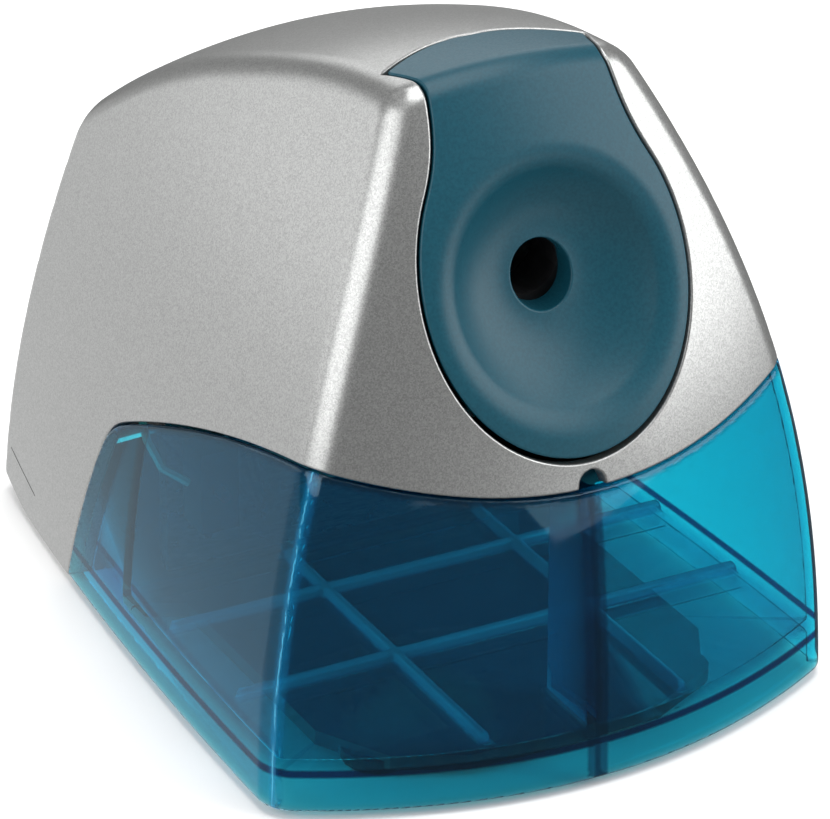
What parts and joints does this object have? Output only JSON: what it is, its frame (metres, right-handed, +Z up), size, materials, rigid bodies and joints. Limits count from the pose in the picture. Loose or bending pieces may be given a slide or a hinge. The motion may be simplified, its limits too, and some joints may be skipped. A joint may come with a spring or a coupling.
{
  "type": "electric pencil sharpener",
  "caption": "Desktop electric pencil sharpener with a dished pencil hole, a geared helical cutter head and a clear pull-out shavings bin.",
  "frame": {"origin": "centre of the bounding box in plan, at the level of the surface the rubber feet stand on", "axes": "+Z up, -Y is the front with the pencil hole, +X is the right-hand side seen from the front"},
  "size_m": [0.0892, 0.1228, 0.098],
  "materials": {
    "silver_paint": "satin silver paint with fine metal flake on moulded plastic",
    "teal_soft": "fine-textured satin moulding",
    "clear_blue": "clear cyan-blue moulding, polished",
    "black_plastic": "moulded black plastic",
    "rubber": "matt moulded rubber",
    "steel": "machined steel",
    "zinc": "bright zinc",
    "brass": "turned",
    "nylon": "natural nylon",
    "circuit_board": "lacquered laminate",
    "dark_sleeve": "shrunk sleeve",
    "green_plastic": "moulded",
    "red_plastic": "moulded"
  },
  "bodies": {
    "housing": {"top_housing": "silver_paint", "front_panel": "teal_soft", "base_plate": "black_plastic", "foot_front_left": "rubber", "foot_front_right": "rubber", "foot_rear_left": "rubber", "foot_rear_right": "rubber", "base_screw_1": "zinc", "base_screw_2": "zinc", "base_screw_3": "zinc", "base_screw_4": "zinc", "pencil_guide": "black_plastic", "start_lever_pin": "steel", "start_switch": "black_plastic", "chassis": "black_plastic", "ring_gear": "steel", "gear_frame": "black_plastic", "motor_plate": "steel", "front_bush": "brass", "rear_bush": "brass", "idler_axle": "steel", "motor_can": "zinc", "motor_end_cap": "black_plastic", "motor_screw_1": "zinc", "motor_screw_2": "zinc", "frame_screw_1": "zinc", "frame_screw_2": "zinc", "frame_screw_3": "zinc", "circuit_board": "circuit_board", "capacitor": "dark_sleeve", "rectifier": "black_plastic", "thermal_fuse": "zinc", "terminal_block": "green_plastic", "interlock_switch": "black_plastic", "cord_gland": "rubber", "live_lead": "black_plastic", "neutral_lead": "nylon", "motor_lead_a": "red_plastic", "motor_lead_b": "black_plastic", "start_lead": "red_plastic", "interlock_lead": "nylon"},
    "bin": {"shavings_bin": "clear_blue"},
    "cutter_head": {"cutter_carrier": "zinc", "carrier_gear": "nylon", "cutter_pin": "steel"},
    "cutter": {"helical_cutter": "steel", "cutter_gear": "steel"},
    "idler": {"idler_gear": "nylon"},
    "rotor": {"motor_shaft": "steel", "motor_pinion": "brass"},
    "lever": {"start_lever": "nylon"},
    "lever_button": {"start_switch_button": "red_plastic"},
    "plunger": {"interlock_plunger": "red_plastic"}
  },
  "joints": [
    {"name": "bin_slide", "type": "slide", "parent": "housing", "child": "bin", "axis": [0, -1, 0], "range_m": [0, 0.092]},
    {"name": "head_spin", "type": "hinge", "parent": "housing", "child": "cutter_head", "pos_m": [0, 0, 0.0699], "axis": [0, 1, 0], "continuous": true},
    {"name": "cutter_spin", "type": "hinge", "parent": "cutter_head", "child": "cutter", "pos_m": [0, -0.02524, 0.0803], "axis": [0, 0.9811, -0.1936], "continuous": true},
    {"name": "idler_spin", "type": "hinge", "parent": "housing", "child": "idler", "pos_m": [0.00966, 0.01, 0.05159], "axis": [0, 1, 0], "continuous": true},
    {"name": "rotor_spin", "type": "hinge", "parent": "housing", "child": "rotor", "pos_m": [0, 0.02, 0.037], "axis": [0, 1, 0], "continuous": true},
    {"name": "lever_tilt", "type": "hinge", "parent": "housing", "child": "lever", "pos_m": [0.011, -0.035, 0.0776], "axis": [0, 1, 0], "range_deg": [0, 5], "stiffness_Nm_per_rad": 0.01},
    {"name": "button_press", "type": "slide", "parent": "housing", "child": "lever_button", "axis": [0, 0, 1], "range_m": [0, 0.0012]},
    {"name": "plunger_press", "type": "slide", "parent": "housing", "child": "plunger", "axis": [0, 1, 0], "range_m": [0, 0.001], "stiffness_N_per_m": 50}
  ],
  "couplings": [
    {"joint": "cutter_spin", "follows": "head_spin", "ratio": -3.1667},
    {"joint": "idler_spin", "follows": "head_spin", "ratio": -2.8333},
    {"joint": "rotor_spin", "follows": "head_spin", "ratio": 11.333},
    {"joint": "button_press", "follows": "lever_tilt", "m_per_rad": 0.0128}
  ]
}
